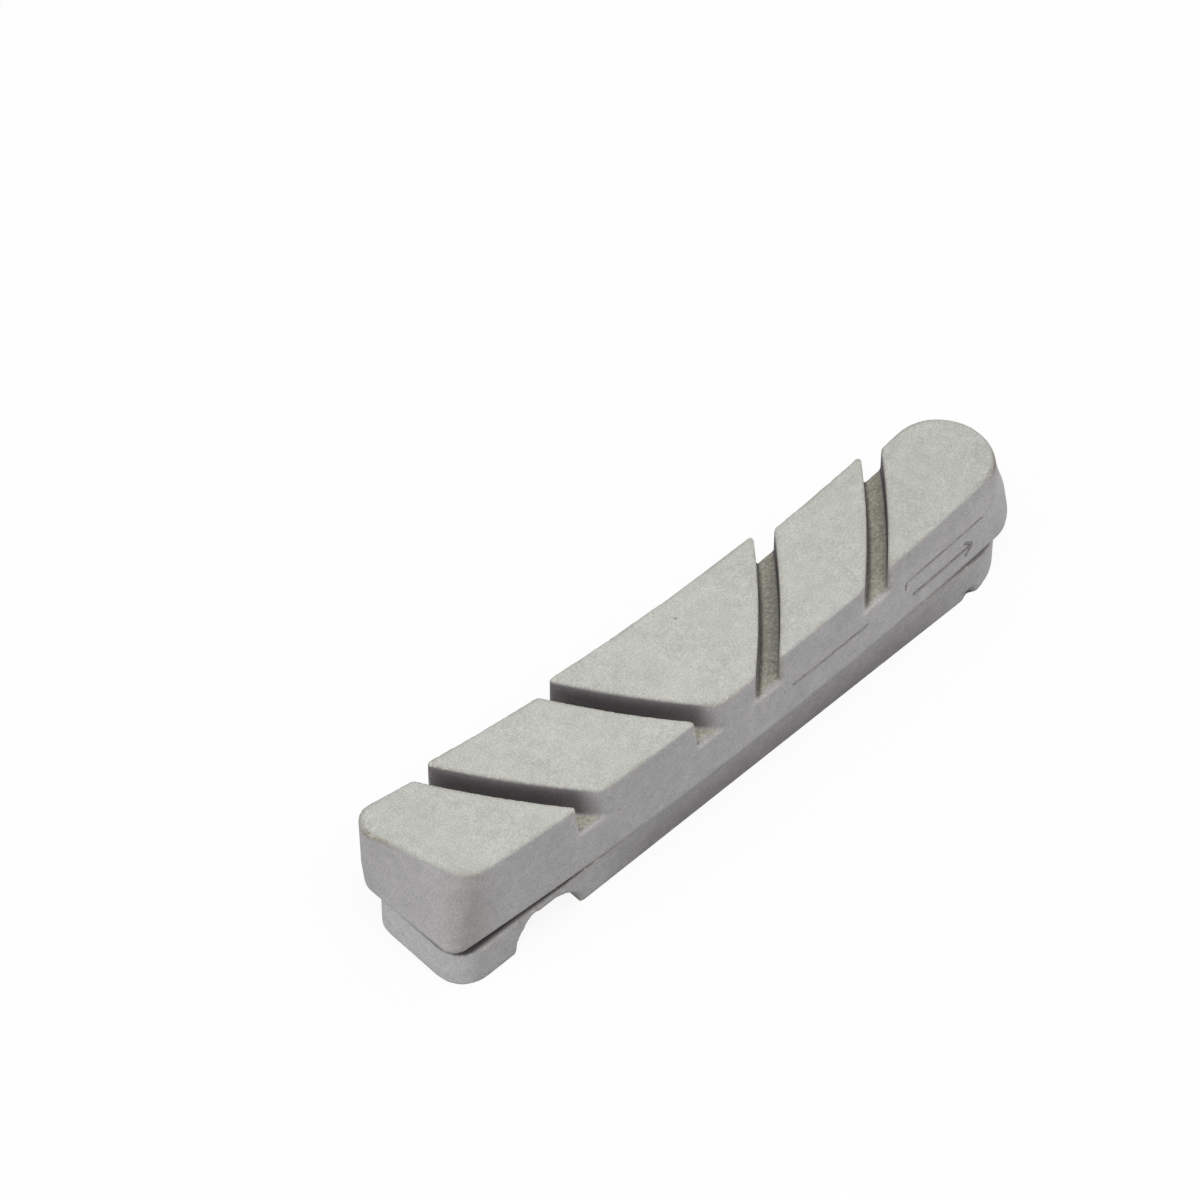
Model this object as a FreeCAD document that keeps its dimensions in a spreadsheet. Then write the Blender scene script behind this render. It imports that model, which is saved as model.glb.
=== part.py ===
import FreeCAD, Part
import math
import os
import Sketcher
from FreeCAD import Placement, Rotation, Vector

# Rim brake pad insert, moulded in one piece from rubber: a straight rail that slides
# into a holder, and on it a curved friction block with four curved slots.
# Millimetres. The origin is the centre of the rail's underside. +X runs from the square
# end to the round end, +Y is the concave side and +Z points to the friction face.

SIZES = [
    ("rail_length", 52.7, "straight rail, end to end"),
    ("rail_width", 8.7, "across the rail"),
    ("rail_height", 3.5, "underside to the groove"),
    ("rail_near_corner", 2.3, "corner radius at the square end, seen from above, convex side"),
    ("rail_far_corner", 1.65, "the same, concave side"),
    ("groove_height", 0.7, "gap between the rail and the block"),
    ("groove_depth", 0.8, "into the convex side"),
    ("nose_inset", 0.8, "neck behind the rail at the round end"),
    ("neck_height", 1.6, "neck, up into the block"),
    ("neck_lean", 18.0, "degrees, sides of the neck from upright"),
    ("notch_place", 18.3, "locking notch, from the middle towards the square end"),
    ("notch_radius", 2.84, "main hollow of the notch, across the underside"),
    ("notch_round_side", 2.84, "its edge towards the round end, from its place"),
    ("notch_square_side", 2.96, "its edge towards the square end"),
    ("notch_side_radius", 3.04, "hollow beside the square end's edge"),
    ("notch_pip_radius", 0.8, "small hollow between the two ridges"),
    ("low_ridge_place", 2.1, "lower ridge, from the notch's place towards the square end"),
    ("low_ridge_height", 2.3, "lower ridge above the underside"),
    ("high_ridge_place", 0.75, "upper ridge, from the notch's place"),
    ("high_ridge_height", 2.65, "upper ridge above the underside"),
    ("face_height", 10.7, "friction face above the underside, at the middle"),
    ("face_slope", 1.15, "degrees down towards the round end"),
    ("face_convex_radius", 267.0, "edge of the friction face, convex side"),
    ("face_convex_middle", -2.35, "its outermost point along the pad"),
    ("face_convex_reach", 4.62, "its outermost point from the axis"),
    ("face_concave_radius", 168.0, "edge of each block, concave side"),
    ("face_concave_middle", 4.13, "its innermost point along the pad"),
    ("face_concave_reach", 4.13, "middle block's edge from the axis"),
    ("face_step_square", 0.71, "each block stands back from the next, square end pair"),
    ("face_step_round", 0.71, "the same, round end pair"),
    ("face_end", 25.92, "square end of the face, from the middle"),
    ("face_end_slant", 19.0, "degrees, square end of the face"),
    ("face_nose_middle", 22.44, "centre of the face's round end"),
    ("face_nose_radius", 3.79, "radius of the round end"),
    ("face_nose_corner", 2.0, "where it meets the convex edge"),
    ("foot_convex_radius", 340.0, "the same edge low on the block, above its round lower edge"),
    ("foot_convex_middle", 0.9, "outermost point along the pad"),
    ("foot_convex_reach", 5.2, "outermost point from the axis"),
    ("foot_concave_radius", 1500.0, "concave side, low on the block"),
    ("foot_concave_middle", 1.0, "its innermost point along the pad"),
    ("foot_concave_reach", 5.0, "middle block from the axis"),
    ("foot_step_square", 0.05, "what is left of the steps there, square end pair"),
    ("foot_step_round", 0.05, "the same, round end pair"),
    ("foot_end", 26.87, "square end there, from the middle"),
    ("foot_end_slant", 1.7, "degrees, square end there"),
    ("foot_nose_middle", 22.6, "centre of the round end there"),
    ("foot_nose_radius", 4.9, "radius of the round end there"),
    ("foot_nose_corner", 2.5, "where it meets the convex edge there"),
    ("waist_height", 6.6, "above it the walls on the concave side stand upright"),
    ("face_near_corner", 1.4, "corner radius of the face, square end, convex side"),
    ("face_far_corner", 1.57, "the same, concave side"),
    ("foot_near_corner", 1.3, "corner radius low on the block, square end, convex side"),
    ("foot_far_corner", 1.5, "the same, concave side"),
    ("brim_radius", 0.55, "round lower edge of the block"),
    ("slot_width", 1.45, "across a slot"),
    ("slot_floor", 8.1, "above the underside"),
    ("slot_radius", 65.0, "middle line of a slot, seen from above"),
    ("slot_middle", -0.78, "line that the slots mirror about"),
    ("slot_inner", 6.92, "two inner slots, from that line"),
    ("slot_outer", 17.17, "two outer slots, from that line"),
    ("slot_lean_square", 35.84, "degrees from across, square end pair"),
    ("slot_lean_round", 42.82, "degrees from across, round end pair"),
    ("near_blunt_corner", 1.2, "blunt corners of the blocks at the slots, convex side"),
    ("far_blunt_corner", 0.4, "the same, concave side"),
    ("block_tip", 0.2, "sharp corners of the blocks at the slots"),
]

# Sizes worked out from those above. The waist is a level between foot and face: on the
# concave side it has the face's arcs, and elsewhere it lies in the straight wall. So it is
# wider than the face on one side only, and its round end grows by half of that.
WAIST_SHARE = ("(waist_height - rail_height - groove_height - brim_radius)"
               " / (face_height - rail_height - groove_height - brim_radius)")
SLOPING = ["convex_radius", "convex_middle", "convex_reach", "end", "end_slant", "near_corner",
           "far_corner", "nose_corner"]
UPRIGHT = ["concave_radius", "concave_middle", "concave_reach", "step_square", "step_round"]
WAIST_NOSE_RADIUS = ("face_nose_radius + (1 - waist_share)"
                     " * (foot_convex_reach - face_convex_reach) / 2")
WAIST_NOSE_MIDDLE = ("(1 - waist_share) * (foot_nose_middle + foot_nose_radius)"
                     " + waist_share * (face_nose_middle + face_nose_radius)"
                     " - waist_nose_radius")

START, END, CENTRE = range(1, 4)
CLOSE = 0.01
RIGHT_ANGLE = 90
UP = Vector(0, 0, 1)

doc = FreeCAD.newDocument("brake_pad")
sheet = doc.addObject("Spreadsheet::Sheet", "Sizes")
for row, (alias, value, note) in enumerate(SIZES, start=1):
    sheet.set(f"A{row}", alias)
    sheet.set(f"B{row}", str(value))
    sheet.setAlias(f"B{row}", alias)
    sheet.set(f"C{row}", note)
formulas = [("waist_share", WAIST_SHARE)]
for size in SLOPING:
    formulas.append((f"waist_{size}", f"foot_{size} + waist_share * (face_{size} - foot_{size})"))
for size in UPRIGHT:
    formulas.append((f"waist_{size}", f"face_{size}"))
formulas.append(("waist_nose_radius", WAIST_NOSE_RADIUS))
formulas.append(("waist_nose_middle", WAIST_NOSE_MIDDLE))
for row, (alias, formula) in enumerate(formulas, start=len(SIZES) + 1):
    sheet.set(f"A{row}", alias)
    sheet.set(f"B{row}", f"={formula}")
    sheet.setAlias(f"B{row}", alias)
doc.recompute()

body = doc.addObject("PartDesign::Body", "brake_pad")
body.Label = "brake_pad"


def number(formula):
    """What a formula of the sheet's sizes comes to."""
    return float(body.evalExpression(formula))


def new_sketch(name, role, offset, tilt=None):
    """Sketch on an origin plane, lifted by one formula and tilted about Y by another."""
    sketch = body.newObject("Sketcher::SketchObject", name)
    planes = [feature for feature in body.Origin.OriginFeatures if feature.Role == role]
    sketch.AttachmentSupport = [(planes[0], "")]
    sketch.MapMode = "FlatFace"
    if tilt:
        sketch.AttachmentOffset = Placement(Vector(), Rotation(Vector(0, 1, 0), number(tilt)))
        sketch.setExpression(".AttachmentOffset.Rotation.Angle", tilt)
    sketch.setExpression(".AttachmentOffset.Base.z", offset)
    return sketch


def pin(sketch, kind, *where_and_formula):
    """Dimension of a sketch, bound to a formula, which is the last argument."""
    *where, formula = where_and_formula
    value = number(formula)
    if kind == "Angle":
        value = math.radians(value)
    constraint = sketch.addConstraint(Sketcher.Constraint(kind, *where, value))
    sketch.setExpression(f"Constraints[{constraint}]", formula)


def pin_point(sketch, geometry, point, x_formula, y_formula):
    """Holds one point of a sketch at x and y."""
    pin(sketch, "DistanceX", -1, 1, geometry, point, x_formula)
    pin(sketch, "DistanceY", -1, 1, geometry, point, y_formula)


def join(sketch, kind, first, first_point, second, second_point):
    """Coincident or Tangent at two end points."""
    sketch.addConstraint(Sketcher.Constraint(kind, first, first_point, second, second_point))


def add_line(sketch, first, last):
    return sketch.addGeometry(Part.LineSegment(Vector(*first, 0), Vector(*last, 0)))


def add_arc(sketch, centre, radius, first, last, construction=False):
    """Arc that runs anticlockwise from the side of one point to the side of another."""
    start = math.atan2(first[1] - centre[1], first[0] - centre[0])
    stop = math.atan2(last[1] - centre[1], last[0] - centre[0])
    if stop < start:
        stop += 2 * math.pi
    circle = Part.Circle(Vector(*centre, 0), UP, radius)
    return sketch.addGeometry(Part.ArcOfCircle(circle, start, stop), construction)


def crossing(first, second, near_x):
    """Where two circles, each a centre and a radius, cross nearest to an x."""
    circles = [Part.Circle(Vector(*centre, 0), UP, radius) for centre, radius in (first, second)]
    points = circles[0].intersectCC(circles[1])
    best = min(points, key=lambda point: math.hypot(point.X - near_x, point.Y))
    return best.X, best.Y


def rail_sketch(name, offset, near_inset, far_inset, nose_inset):
    """Straight rail from above: square end with rounded corners, and a full round end."""
    sketch = new_sketch(name, "XY_Plane", offset)
    near = f"{near_inset} - Sizes.rail_width / 2"
    far = f"Sizes.rail_width / 2 - {far_inset}"
    near_radius = f"Sizes.rail_near_corner - {near_inset}"
    far_radius = f"Sizes.rail_far_corner - {far_inset}"
    nose_radius = f"(Sizes.rail_width - {near_inset} - {far_inset}) / 2"
    nose_x = f"Sizes.rail_length / 2 - {nose_inset} - {nose_radius}"
    x0 = number("-Sizes.rail_length / 2")
    x1 = number(nose_x)
    y0 = number(near)
    y1 = number(far)
    r0 = number(near_radius)
    r1 = number(far_radius)
    near_line = add_line(sketch, (x0 + r0, y0), (x1, y0))
    nose = add_arc(sketch, (x1, (y0 + y1) / 2), number(nose_radius), (x1, y0), (x1, y1))
    far_line = add_line(sketch, (x1, y1), (x0 + r1, y1))
    far_arc = add_arc(sketch, (x0 + r1, y1 - r1), r1, (x0 + r1, y1), (x0, y1 - r1))
    end_line = add_line(sketch, (x0, y1 - r1), (x0, y0 + r0))
    near_arc = add_arc(sketch, (x0 + r0, y0 + r0), r0, (x0, y0 + r0), (x0 + r0, y0))
    loop = [near_line, nose, far_line, far_arc, end_line, near_arc]
    for first, second in zip(loop, loop[1:] + loop[:1]):
        join(sketch, "Tangent", first, END, second, START)
    sketch.addConstraint(Sketcher.Constraint("Horizontal", near_line))
    sketch.addConstraint(Sketcher.Constraint("Horizontal", far_line))
    sketch.addConstraint(Sketcher.Constraint("Vertical", end_line))
    pin(sketch, "DistanceY", -1, 1, near_line, START, near)
    pin(sketch, "DistanceY", -1, 1, far_line, START, far)
    pin(sketch, "DistanceX", -1, 1, end_line, START, "-Sizes.rail_length / 2")
    pin(sketch, "DistanceX", -1, 1, nose, CENTRE, nose_x)
    pin(sketch, "Radius", near_arc, near_radius)
    pin(sketch, "Radius", far_arc, far_radius)
    return sketch


# Slots: a place on the pad's axis, a lean and the side on which the arc's centre lies
SLOTS = [
    ("Sizes.slot_middle - Sizes.slot_outer", "Sizes.slot_lean_square", 1),
    ("Sizes.slot_middle - Sizes.slot_inner", "Sizes.slot_lean_square", 1),
    ("Sizes.slot_middle + Sizes.slot_inner", "Sizes.slot_lean_round", -1),
    ("Sizes.slot_middle + Sizes.slot_outer", "Sizes.slot_lean_round", -1),
]

# Radius of the line in each slot on which the concave edge steps back: a little inside
# the slot's middle line, so the slot cuts the step away
STEP_RADIUS = "Sizes.slot_radius - 0.4 * Sizes.slot_width"


def slot_centre(place, lean, side):
    """Formulas for the centre of a slot's arc."""
    across = "+" if side > 0 else "-"
    return (f"{place} {across} Sizes.slot_radius * cos({lean})", f"Sizes.slot_radius * sin({lean})")


def towards(first, second, distance):
    """Point at a distance from one point towards another."""
    share = distance / math.dist(first, second)
    return tuple(start + share * (stop - start) for start, stop in zip(first, second))


def corner(end_x, slant, circle, radius, side):
    """Round corner between the slanted end line, which crosses the axis at end_x, and a
    large circle: its centre, its end on the line and its end on the circle. side is 1
    where the block lies outside the circle and -1 where it lies inside."""
    (circle_x, circle_y), large = circle
    inward = (math.cos(slant), math.sin(slant))
    along = (-math.sin(slant), math.cos(slant))
    start_x = end_x + radius * inward[0] - circle_x
    start_y = radius * inward[1] - circle_y
    reach = large + side * radius
    half = start_x * along[0] + start_y * along[1]
    rest = start_x ** 2 + start_y ** 2 - reach ** 2
    step = -half - math.sqrt(half ** 2 - rest)
    centre = (circle_x + start_x + step * along[0], circle_y + start_y + step * along[1])
    on_line = (centre[0] - radius * inward[0], centre[1] - radius * inward[1])
    share = large / reach
    on_circle = (circle_x + (centre[0] - circle_x) * share,
                 circle_y + (centre[1] - circle_y) * share)
    return centre, on_line, on_circle


def concave_edge(sketch, size, inset, first, last):
    """Concave side as five arcs, one for each block, with a step back at each slot."""
    centre_x = f"{size}concave_middle"
    radius = f"{size}concave_radius + {inset}"
    set_backs = [f"2 * {size}step_square", f"{size}step_square", "0",
                 f"{size}step_round", f"2 * {size}step_round"]
    centres = [(centre_x, f"{size}concave_reach + {size}concave_radius - {back}")
               for back in set_backs]
    circles = [([number(place) for place in centre], number(radius)) for centre in centres]
    walls = []
    ends = [first]
    for index, (place, lean, side) in enumerate(SLOTS):
        centre = slot_centre(place, lean, side)
        wall_circle = ([number(place) for place in centre], number(STEP_RADIUS))
        crossings = [crossing(wall_circle, circles[near], number(place)) for near in (index, index + 1)]
        ends.extend(crossings)
        low, high = sorted(crossings, key=lambda point: side * point[1])
        wall = add_arc(sketch, *wall_circle, high, low, True)
        pin_point(sketch, wall, CENTRE, *centre)
        pin(sketch, "Radius", wall, STEP_RADIUS)
        walls.append(wall)
    ends.append(last)
    arcs = []
    for index, (circle, centre) in enumerate(zip(circles, centres)):
        arc = add_arc(sketch, *circle, ends[2 * index], ends[2 * index + 1])
        pin_point(sketch, arc, CENTRE, *centre)
        pin(sketch, "Radius", arc, radius)
        arcs.append(arc)
    for index, wall in enumerate(walls):
        step = add_line(sketch, ends[2 * index + 1], ends[2 * index + 2])
        join(sketch, "Coincident", arcs[index], END, step, START)
        join(sketch, "Coincident", step, END, arcs[index + 1], START)
        sketch.addConstraint(Sketcher.Constraint("PointOnObject", step, START, wall))
        sketch.addConstraint(Sketcher.Constraint("PointOnObject", step, END, wall))
    return arcs


def block_outline(name, offset, tilt, level, inset="0"):
    """Outline of the friction block at one level: a convex edge, a round end, the stepped
    concave edge and a slanted square end with round corners. It can be inset all round."""
    sketch = new_sketch(name, "XY_Plane", offset, tilt)
    size = f"Sizes.{level}_"
    convex_centre = (f"{size}convex_middle", f"{size}convex_radius - {size}convex_reach")
    convex_radius = f"{size}convex_radius - {inset}"
    convex = ([number(place) for place in convex_centre], number(convex_radius))
    concave_x = number(f"{size}concave_middle")
    concave_y = number(f"{size}concave_reach + {size}concave_radius")
    concave_radius = number(f"{size}concave_radius + {inset}")
    first_circle = ((concave_x, concave_y - number(f"2 * {size}step_square")), concave_radius)
    last_circle = ((concave_x, concave_y - number(f"2 * {size}step_round")), concave_radius)
    slant = math.radians(number(f"{size}end_slant"))
    end_distance = f"{size}end * cos({size}end_slant) - {inset}"
    end_x = -number(end_distance) / math.cos(slant)
    near_radius = number(f"{size}near_corner - {inset}")
    far_radius = number(f"{size}far_corner - {inset}")
    near_centre, near_line, near_start = corner(end_x, slant, convex, near_radius, -1)
    far_centre, far_line, far_start = corner(end_x, slant, first_circle, far_radius, 1)
    nose_radius = number(f"{size}nose_radius - {inset}")
    cheek_radius = number(f"{size}nose_corner - {inset}")
    nose_x = number(f"{size}nose_middle")
    (last_x, last_y), last_radius = last_circle
    rise = math.sqrt((last_radius + nose_radius) ** 2 - (nose_x - last_x) ** 2)
    nose_centre = (nose_x, last_y - rise)
    nose_end = towards(nose_centre, last_circle[0], nose_radius)
    cheek_circles = (nose_centre, nose_radius - cheek_radius), (convex[0], convex[1] - cheek_radius)
    cheek_centre = crossing(*cheek_circles, nose_x + nose_radius)
    cheek_start = towards(cheek_centre, convex[0], -cheek_radius)
    cheek_end = towards(cheek_centre, nose_centre, -cheek_radius)

    edge = add_arc(sketch, *convex, near_start, cheek_start)
    cheek = add_arc(sketch, cheek_centre, cheek_radius, cheek_start, cheek_end)
    nose = add_arc(sketch, nose_centre, nose_radius, cheek_end, nose_end)
    arcs = concave_edge(sketch, size, inset, far_start, nose_end)
    far = add_arc(sketch, far_centre, far_radius, far_start, far_line)
    end = add_line(sketch, far_line, near_line)
    near = add_arc(sketch, near_centre, near_radius, near_line, near_start)
    join(sketch, "Tangent", edge, END, cheek, START)
    join(sketch, "Tangent", cheek, END, nose, START)
    join(sketch, "Tangent", nose, END, arcs[-1], END)
    join(sketch, "Tangent", arcs[0], START, far, START)
    join(sketch, "Tangent", far, END, end, START)
    join(sketch, "Tangent", end, END, near, START)
    join(sketch, "Tangent", near, END, edge, START)
    pin_point(sketch, edge, CENTRE, *convex_centre)
    pin(sketch, "Radius", edge, convex_radius)
    pin(sketch, "DistanceX", -1, 1, nose, CENTRE, f"{size}nose_middle")
    pin(sketch, "Radius", nose, f"{size}nose_radius - {inset}")
    pin(sketch, "Radius", cheek, f"{size}nose_corner - {inset}")
    pin(sketch, "Radius", far, f"{size}far_corner - {inset}")
    pin(sketch, "Radius", near, f"{size}near_corner - {inset}")
    pin(sketch, "Distance", -1, 1, end, end_distance)
    pin(sketch, "Angle", -2, 1, end, 1, f"180 + {size}end_slant")
    return sketch


def slot_outline(sketch, place, lean, side):
    """Curved slot from beyond one side of the pad to beyond the other."""
    formulas = slot_centre(place, lean, side)
    centre = [number(formula) for formula in formulas]
    reach = number("Sizes.rail_width")
    arcs = []
    for sign in ("-", "+"):
        radius = f"Sizes.slot_radius {sign} Sizes.slot_width / 2"
        size = number(radius)
        ends = []
        for y in (-side * reach, side * reach):
            across = math.sqrt(size ** 2 - (y - centre[1]) ** 2)
            ends.append((centre[0] - side * across, y))
        arc = add_arc(sketch, centre, size, ends[1], ends[0])
        pin_point(sketch, arc, CENTRE, *formulas)
        pin(sketch, "Radius", arc, radius)
        arcs.append((arc, ends))
    (inner, inner_ends), (outer, outer_ends) = arcs
    for point, end in ((START, 1), (END, 0)):
        line = add_line(sketch, inner_ends[end], outer_ends[end])
        join(sketch, "Coincident", inner, point, line, START)
        join(sketch, "Coincident", line, END, outer, point)
        sketch.addConstraint(Sketcher.Constraint("Horizontal", line))
        sign = "" if inner_ends[end][1] > 0 else "-"
        pin(sketch, "DistanceY", -1, 1, line, START, f"{sign}Sizes.rail_width")


def notch_outline(sketch):
    """Locking notch: three hollows side by side, with a ridge between each two."""
    points = [
        ("-Sizes.notch_place - Sizes.notch_square_side", "0"),
        ("-Sizes.notch_place - Sizes.low_ridge_place", "Sizes.low_ridge_height"),
        ("-Sizes.notch_place - Sizes.high_ridge_place", "Sizes.high_ridge_height"),
        ("Sizes.notch_round_side - Sizes.notch_place", "0"),
    ]
    places = [[number(formula) for formula in point] for point in points]
    radii = ["Sizes.notch_side_radius", "Sizes.notch_pip_radius", "Sizes.notch_radius"]
    hollows = []
    for index, formula in enumerate(radii):
        first, last = places[index:index + 2]
        radius = number(formula)
        chord = math.dist(first, last)
        inward = math.sqrt(radius ** 2 - chord ** 2 / 4) / chord
        centre = ((first[0] + last[0]) / 2 + (last[1] - first[1]) * inward,
                  (first[1] + last[1]) / 2 - (last[0] - first[0]) * inward)
        hollow = add_arc(sketch, centre, radius, last, first)
        pin_point(sketch, hollow, END, *points[index])
        pin(sketch, "Radius", hollow, formula)
        hollows.append(hollow)
    join(sketch, "Coincident", hollows[0], START, hollows[1], END)
    join(sketch, "Coincident", hollows[1], START, hollows[2], END)
    pin_point(sketch, hollows[2], START, *points[3])
    opening = add_line(sketch, places[3], places[0])
    join(sketch, "Coincident", hollows[2], START, opening, START)
    join(sketch, "Coincident", opening, END, hollows[0], END)


def turn_at(shape, edge):
    """Degrees by which the surface turns across an edge."""
    place = edge.CenterOfMass
    faces = shape.ancestorsOfType(edge, Part.Face)
    normals = [face.normalAt(*face.Surface.parameter(place)) for face in faces]
    return math.degrees(normals[0].getAngle(normals[1]))


def round_corners(name, radius, blunt, side=0):
    """Rounds the upright corners that stand on the slot floors: those where the surface
    turns by less than a right angle, or the others. side picks the convex side with -1,
    the concave side with 1 or both with 0."""
    base = body.Tip
    floor = number("Sizes.slot_floor")
    names = []
    for index, edge in enumerate(base.Shape.Edges, start=1):
        heights = sorted(vertex.Z for vertex in edge.Vertexes)
        stands_on_floor = abs(heights[0] - floor) < CLOSE and heights[-1] > floor + CLOSE
        on_side = side * edge.CenterOfMass.y >= 0
        if stands_on_floor and on_side and (turn_at(base.Shape, edge) < RIGHT_ANGLE) == blunt:
            names.append(f"Edge{index}")
    feature = body.newObject("PartDesign::Fillet", name)
    feature.Base = (base, names)
    feature.setExpression("Radius", radius)
    doc.recompute()


rail = body.newObject("PartDesign::Pad", "rail")
rail.Profile = rail_sketch("rail_outline", "0", "0", "0", "0")
rail.setExpression("Length", "Sizes.rail_height")

neck = body.newObject("PartDesign::Pad", "neck")
neck.Profile = rail_sketch("neck_outline", "Sizes.rail_height", "Sizes.groove_depth",
                           "0", "Sizes.nose_inset")
neck.setExpression("Length", "Sizes.neck_height")
neck.setExpression("TaperAngle", "-Sizes.neck_lean")

# The brim is a quarter round under the block's edge: it leaves the neck level, is half
# turned at the middle section and stands upright where the walls begin.
NECK_TOP = "Sizes.rail_height + Sizes.groove_height"
HALF_TURN = "Sizes.brim_radius * (1 - cos(45))"
brim_outline = block_outline("brim_outline", NECK_TOP, None, "foot", "Sizes.brim_radius")
brim_middle = block_outline("brim_middle", f"{NECK_TOP} + {HALF_TURN}", None, "foot", HALF_TURN)
foot_outline = block_outline("foot_outline", f"{NECK_TOP} + Sizes.brim_radius", None, "foot")
waist_outline = block_outline("waist_outline", "Sizes.waist_height", None, "waist")
face_outline = block_outline("face_outline", "Sizes.face_height", "Sizes.face_slope", "face")

brim = body.newObject("PartDesign::AdditiveLoft", "brim")
brim.Profile = brim_outline
brim.Sections = [(brim_middle, [""]), (foot_outline, [""])]
brim.Ruled = False

block = body.newObject("PartDesign::AdditiveLoft", "block")
block.Profile = foot_outline
block.Sections = [(waist_outline, [""]), (face_outline, [""])]
block.Ruled = True

slot_sketch = new_sketch("slot_outlines", "XY_Plane", "Sizes.slot_floor")
for place, lean, side in SLOTS:
    slot_outline(slot_sketch, place, lean, side)
slots = body.newObject("PartDesign::Pocket", "slots")
slots.Profile = slot_sketch
slots.Reversed = True
slots.setExpression("Length", "Sizes.face_height")

notch_sketch = new_sketch("notch_outline", "XZ_Plane", "0")
notch_outline(notch_sketch)
notch = body.newObject("PartDesign::Pocket", "notch")
notch.Profile = notch_sketch
notch.Midplane = True
notch.setExpression("Length", "2 * Sizes.rail_width")
doc.recompute()

round_corners("near_blunt_corners", "Sizes.near_blunt_corner", True, -1)
round_corners("far_blunt_corners", "Sizes.far_blunt_corner", True, 1)
round_corners("block_tips", "Sizes.block_tip", False)

failed = [item.Name for item in doc.Objects if "Invalid" in item.State or "Error" in item.State]
if failed:
    raise RuntimeError(f"not built: {failed}")
shape = body.Shape
if shape.isNull() or not shape.isValid() or len(shape.Solids) != 1:
    raise RuntimeError("the body is not one valid solid")
os.makedirs("parts", exist_ok=True)
shape.exportStep(f"parts/{body.Label}.step")
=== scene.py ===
# %% [markdown]
# A rim brake pad is a small rubber block that a bicycle's brake presses against the
# wheel rim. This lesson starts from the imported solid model, whose sizes are fixed, and
# gives it the look of real moulded rubber: soft edges, grain, and marks from the mould.

import bmesh
import bpy
import numpy as np
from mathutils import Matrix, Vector


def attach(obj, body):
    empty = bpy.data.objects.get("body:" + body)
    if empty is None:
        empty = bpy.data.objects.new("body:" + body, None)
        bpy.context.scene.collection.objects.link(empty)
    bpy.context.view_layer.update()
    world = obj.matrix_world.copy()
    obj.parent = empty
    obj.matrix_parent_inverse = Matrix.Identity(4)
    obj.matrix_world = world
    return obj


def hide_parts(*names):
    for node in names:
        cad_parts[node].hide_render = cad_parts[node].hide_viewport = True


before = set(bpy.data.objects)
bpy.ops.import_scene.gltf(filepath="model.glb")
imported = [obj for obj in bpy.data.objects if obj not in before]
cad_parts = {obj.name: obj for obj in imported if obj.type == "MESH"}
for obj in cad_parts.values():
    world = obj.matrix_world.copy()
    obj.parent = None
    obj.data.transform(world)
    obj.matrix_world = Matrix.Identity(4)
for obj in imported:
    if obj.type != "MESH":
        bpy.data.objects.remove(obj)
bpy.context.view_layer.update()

MM = 0.001

# %% [markdown]
# The camera comes first, because every later choice is judged through it. A photograph of
# a small object is taken from a distance with a long lens, which keeps its far end nearly
# as large as its near end. The place and the aim are in the model's own millimetres.

# %% Camera
CAMERA_PLACE = Vector((-186.54, -184.72, 363.38)) * MM
CAMERA_AIM = Vector((2.92, 12.98, 0.0)) * MM
SENSOR = 36.0
LENS = 198.2
NEAREST = 10.0

camera_data = bpy.data.cameras.new("camera")
camera_data.sensor_width = SENSOR
camera_data.lens = LENS
camera_data.clip_start = NEAREST * MM
camera = bpy.data.objects.new("camera", camera_data)
camera.location = CAMERA_PLACE
camera.rotation_euler = (CAMERA_AIM - CAMERA_PLACE).to_track_quat("-Z", "Y").to_euler()
bpy.context.collection.objects.link(camera)
bpy.context.scene.camera = camera
print("camera distance in mm:", round((CAMERA_AIM - CAMERA_PLACE).length / MM, 1))

# %% [markdown]
# A studio shot of a small part is lit softly from all round, with a little more from
# above. Here a white world gives the even light, one large lamp hangs over the pad, and
# two weaker ones stand beyond its ends. Their sum is about one on the friction face, so a
# colour there renders about as it is written, and the sides get about two thirds of it.

# %% Lamps
WORLD_LEVEL = 0.5
WHITE = (1, 1, 1, 1)
LAMPS = {
    "top_lamp": ((-60, -110, 440), 300, 0.77),
    "square_end_lamp": ((-420, 60, 170), 200, 0.37),
    "round_end_lamp": ((420, -80, 170), 200, 0.42),
}


def hang_lamp(name, place, size, watts):
    """Square soft lamp, place and size in millimetres, that faces the origin."""
    data = bpy.data.lights.new(name, "AREA")
    data.size = size * MM
    data.energy = watts
    lamp = bpy.data.objects.new(name, data)
    lamp.location = Vector(place) * MM
    lamp.rotation_euler = (-lamp.location).to_track_quat("-Z", "Y").to_euler()
    bpy.context.collection.objects.link(lamp)


for name, (place, size, watts) in LAMPS.items():
    hang_lamp(name, place, size, watts)
scene = bpy.context.scene
scene.view_settings.view_transform = "Standard"
world = bpy.data.worlds.new("studio")
scene.world = world
world.use_nodes = True
background = world.node_tree.nodes["Background"]
background.inputs["Color"].default_value = WHITE
background.inputs["Strength"].default_value = WORLD_LEVEL
print("lamps:", list(LAMPS))

# %% [markdown]
# Every material below is a graph of nodes. A few short helpers keep such a graph readable.
# One turns screen values from 0 to 255 into the linear numbers that the renderer works
# with, one adds a node and feeds its sockets, and two more do a sum and a blend.

# %% Node helpers


def tone(red, green, blue):
    """Linear colour of three screen values: the curve of the screen, undone."""
    share = np.array([red, green, blue]) / 255
    linear = np.where(share <= 0.04045, share / 12.92, ((share + 0.055) / 1.055) ** 2.4)
    return (*linear.tolist(), 1.0)


def add_node(tree, kind, feeds, **settings):
    """New node of a kind. feeds maps a socket to a number, a colour or another socket."""
    node = tree.nodes.new(kind)
    for setting, value in settings.items():
        setattr(node, setting, value)
    for socket, value in feeds.items():
        if isinstance(value, bpy.types.NodeSocket):
            tree.links.new(value, node.inputs[socket])
        else:
            node.inputs[socket].default_value = value
    return node


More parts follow.
